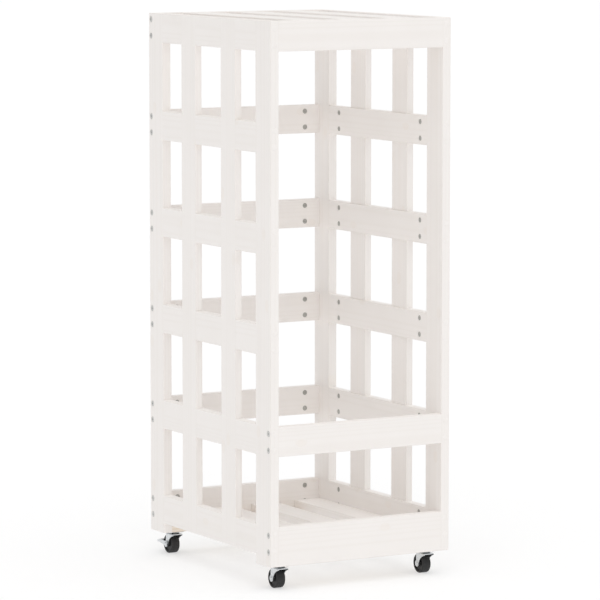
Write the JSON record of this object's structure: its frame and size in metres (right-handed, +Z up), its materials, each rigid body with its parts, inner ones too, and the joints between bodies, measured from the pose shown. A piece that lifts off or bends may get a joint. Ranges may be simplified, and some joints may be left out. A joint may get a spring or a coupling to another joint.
{
  "type": "firewood log rack",
  "caption": "Tall white slatted wooden rack on swivel casters for stacking firewood logs, with lattice sides, an open back and boards across the lower front.",
  "frame": {"origin": "on the floor, under the middle of the overall box, which includes the brake pedals behind the rack", "axes": "+X to the right side, +Y to the back, +Z up; the loading front faces -Y"},
  "size_m": [0.4, 0.516, 1.093],
  "materials": {
    "painted_pine": "pine painted satin white",
    "plain_pine": "planed bare pine",
    "zinc_steel": "bright zinc-plated pressed steel",
    "black_plastic": "moulded black plastic"
  },
  "bodies": {
    "rack": {"left_front_post": "painted_pine", "left_rear_post": "painted_pine", "left_rail_1": "painted_pine", "left_rail_2": "painted_pine", "left_rail_3": "painted_pine", "left_rail_4": "painted_pine", "left_rail_5": "painted_pine", "left_rail_6": "painted_pine", "left_slat_front": "painted_pine", "left_slat_rear": "painted_pine", "right_front_post": "painted_pine", "right_rear_post": "painted_pine", "right_rail_1": "painted_pine", "right_rail_2": "painted_pine", "right_rail_3": "painted_pine", "right_rail_4": "painted_pine", "right_rail_5": "painted_pine", "right_rail_6": "painted_pine", "right_slat_front": "painted_pine", "right_slat_rear": "painted_pine", "front_top_board": "painted_pine", "front_middle_board": "painted_pine", "front_bottom_board": "painted_pine", "back_rail_1": "painted_pine", "back_rail_2": "painted_pine", "back_rail_3": "painted_pine", "back_rail_4": "painted_pine", "back_rail_5": "painted_pine", "back_rail_6": "painted_pine", "roof_slat_left": "painted_pine", "roof_slat_middle": "painted_pine", "roof_slat_right": "painted_pine", "roof_cleat_front": "painted_pine", "roof_cleat_rear": "painted_pine", "floor_bearer_front": "plain_pine", "floor_bearer_rear": "plain_pine", "floor_slat_1": "painted_pine", "floor_slat_2": "painted_pine", "floor_slat_3": "painted_pine", "floor_slat_4": "painted_pine", "front_left_caster_plate": "zinc_steel", "front_right_caster_plate": "zinc_steel", "rear_left_caster_plate": "zinc_steel", "rear_right_caster_plate": "zinc_steel"},
    "front_left_fork": {"front_left_caster_fork": "zinc_steel", "front_left_caster_axle": "zinc_steel"},
    "front_left_wheel": {"front_left_caster_wheel": "black_plastic"},
    "front_right_fork": {"front_right_caster_fork": "zinc_steel", "front_right_caster_axle": "zinc_steel"},
    "front_right_wheel": {"front_right_caster_wheel": "black_plastic"},
    "rear_left_fork": {"rear_left_caster_fork": "zinc_steel", "rear_left_caster_axle": "zinc_steel"},
    "rear_left_wheel": {"rear_left_caster_wheel": "black_plastic"},
    "rear_left_pedal": {"rear_left_brake_pedal": "zinc_steel"},
    "rear_right_fork": {"rear_right_caster_fork": "zinc_steel", "rear_right_caster_axle": "zinc_steel"},
    "rear_right_wheel": {"rear_right_caster_wheel": "black_plastic"},
    "rear_right_pedal": {"rear_right_brake_pedal": "zinc_steel"}
  },
  "joints": [
    {"name": "front_left_swivel", "type": "hinge", "parent": "rack", "child": "front_left_fork", "pos_m": [-0.164, -0.227, 0.042], "axis": [0, 0, 1], "continuous": true},
    {"name": "front_left_roll", "type": "hinge", "parent": "front_left_fork", "child": "front_left_wheel", "pos_m": [-0.164, -0.217, 0.019], "axis": [1, 0, 0], "continuous": true},
    {"name": "front_right_swivel", "type": "hinge", "parent": "rack", "child": "front_right_fork", "pos_m": [0.164, -0.227, 0.042], "axis": [0, 0, 1], "continuous": true},
    {"name": "front_right_roll", "type": "hinge", "parent": "front_right_fork", "child": "front_right_wheel", "pos_m": [0.164, -0.217, 0.019], "axis": [1, 0, 0], "continuous": true},
    {"name": "rear_left_swivel", "type": "hinge", "parent": "rack", "child": "rear_left_fork", "pos_m": [-0.164, 0.211, 0.042], "axis": [0, 0, 1], "continuous": true},
    {"name": "rear_left_roll", "type": "hinge", "parent": "rear_left_fork", "child": "rear_left_wheel", "pos_m": [-0.164, 0.221, 0.019], "axis": [1, 0, 0], "continuous": true},
    {"name": "rear_left_brake", "type": "hinge", "parent": "rear_left_fork", "child": "rear_left_pedal", "pos_m": [-0.164, 0.221, 0.019], "axis": [-1, 0, 0], "range_deg": [0, 18]},
    {"name": "rear_right_swivel", "type": "hinge", "parent": "rack", "child": "rear_right_fork", "pos_m": [0.164, 0.211, 0.042], "axis": [0, 0, 1], "continuous": true},
    {"name": "rear_right_roll", "type": "hinge", "parent": "rear_right_fork", "child": "rear_right_wheel", "pos_m": [0.164, 0.221, 0.019], "axis": [1, 0, 0], "continuous": true},
    {"name": "rear_right_brake", "type": "hinge", "parent": "rear_right_fork", "child": "rear_right_pedal", "pos_m": [0.164, 0.221, 0.019], "axis": [-1, 0, 0], "range_deg": [0, 18]}
  ]
}
